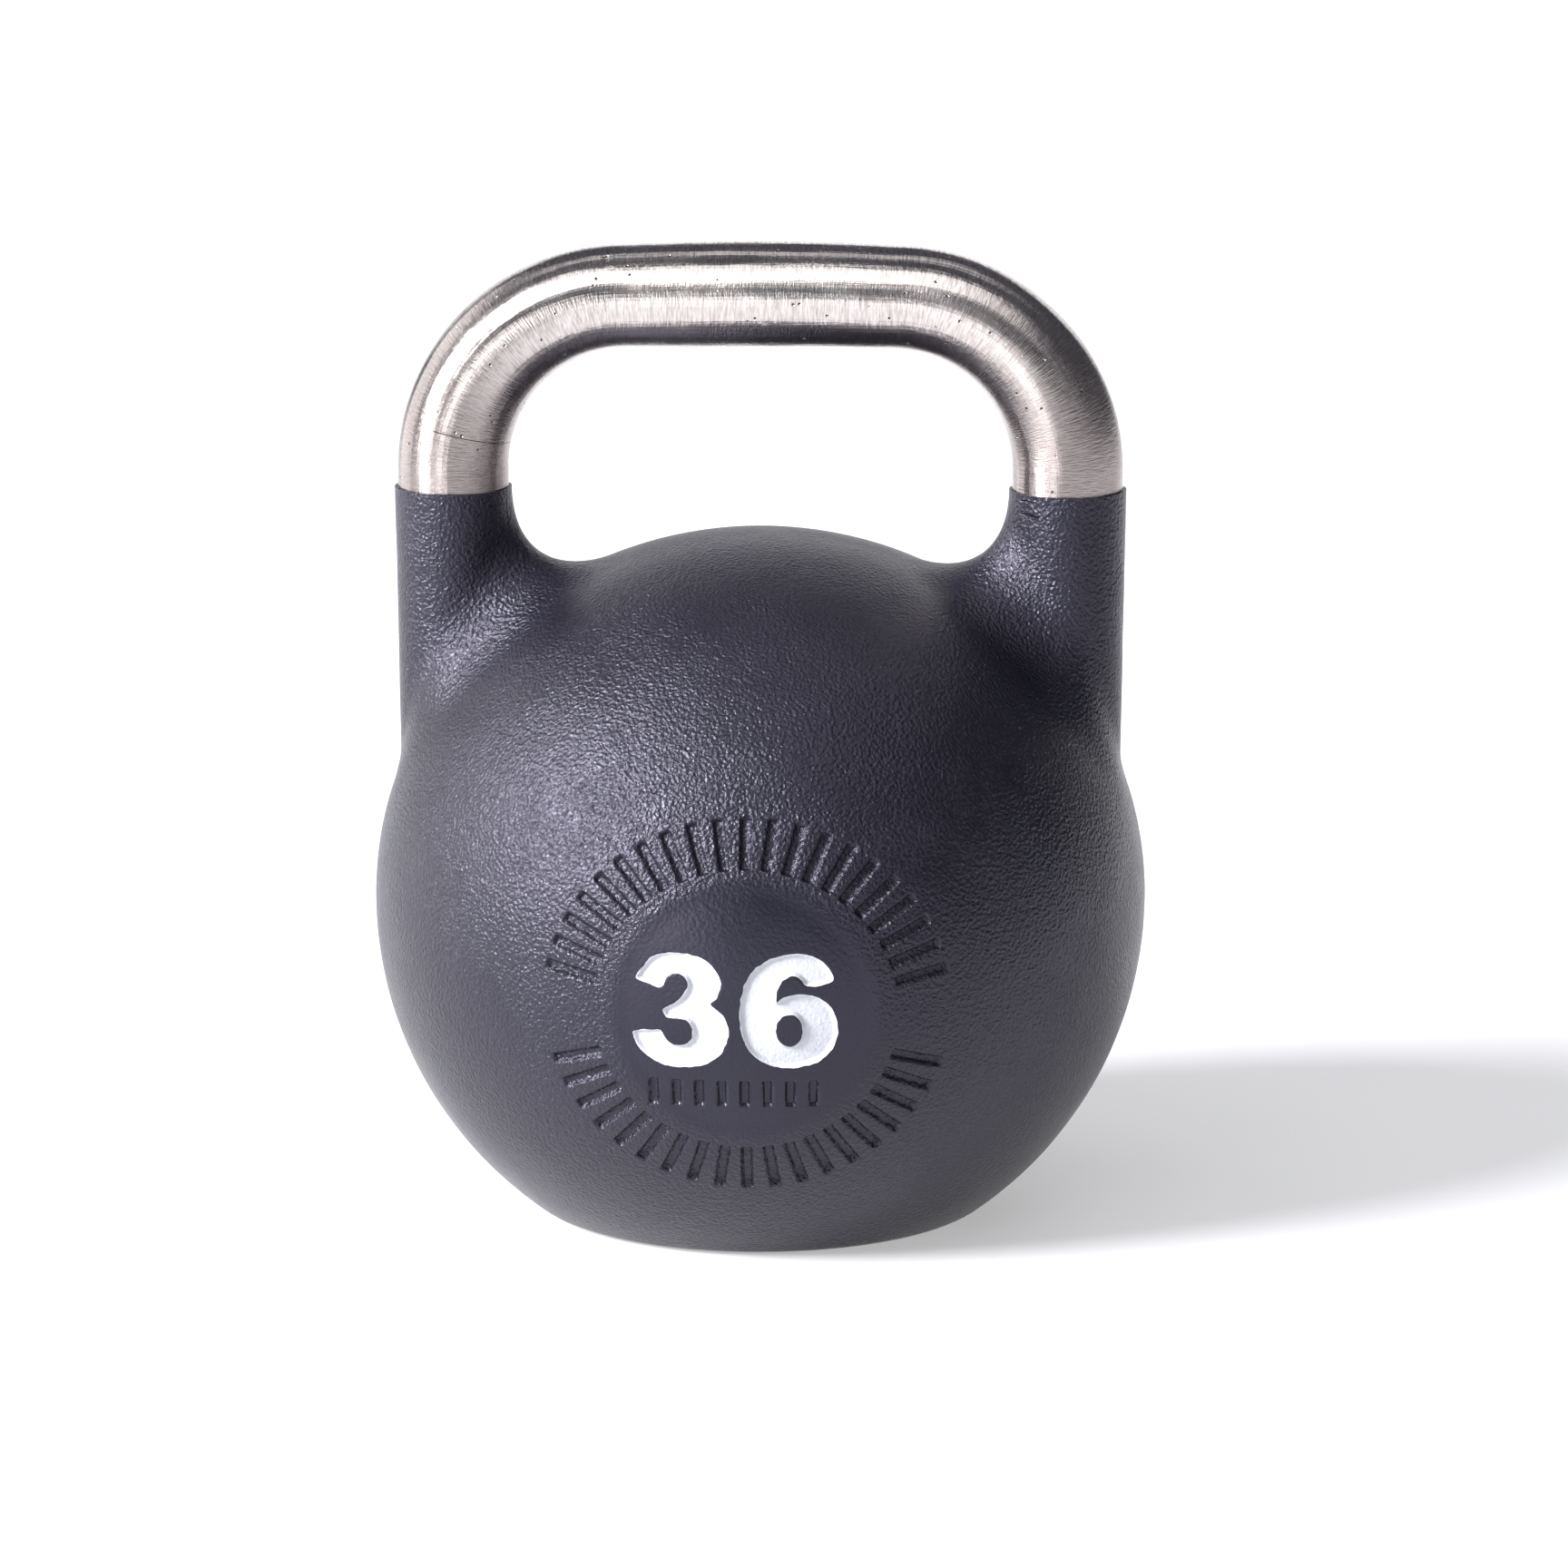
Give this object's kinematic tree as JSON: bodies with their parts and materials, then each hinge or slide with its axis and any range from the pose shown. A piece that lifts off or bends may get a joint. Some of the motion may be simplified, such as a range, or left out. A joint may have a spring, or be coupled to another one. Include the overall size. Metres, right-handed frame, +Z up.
{
  "type": "competition kettlebell",
  "caption": "Round painted kettlebell with a flat foot, filleted horns, a bent round steel handle and a recessed plug in its base.",
  "frame": {"origin": "centre of the flat foot, at floor level", "axes": "+Z up through the middle of the ball and the grip, X along the grip, and the weight numerals face -Y"},
  "size_m": [0.21, 0.21, 0.265],
  "materials": {
    "black_paint": "satin",
    "ground_steel": "satin",
    "weld_metal": "matte",
    "poured_core": "matte",
    "plug_paint": "satin",
    "seal_rubber": "matte",
    "white_enamel": "satin"
  },
  "bodies": {
    "root": {"ball_casting": "black_paint", "handle_bar": "ground_steel", "weld_bead_left": "weld_metal", "weld_bead_right": "weld_metal", "ballast_core": "poured_core", "base_plug": "plug_paint", "plug_seal": "seal_rubber", "numeral_3_enamel": "white_enamel", "numeral_6_enamel": "white_enamel"}
  },
  "joints": []
}
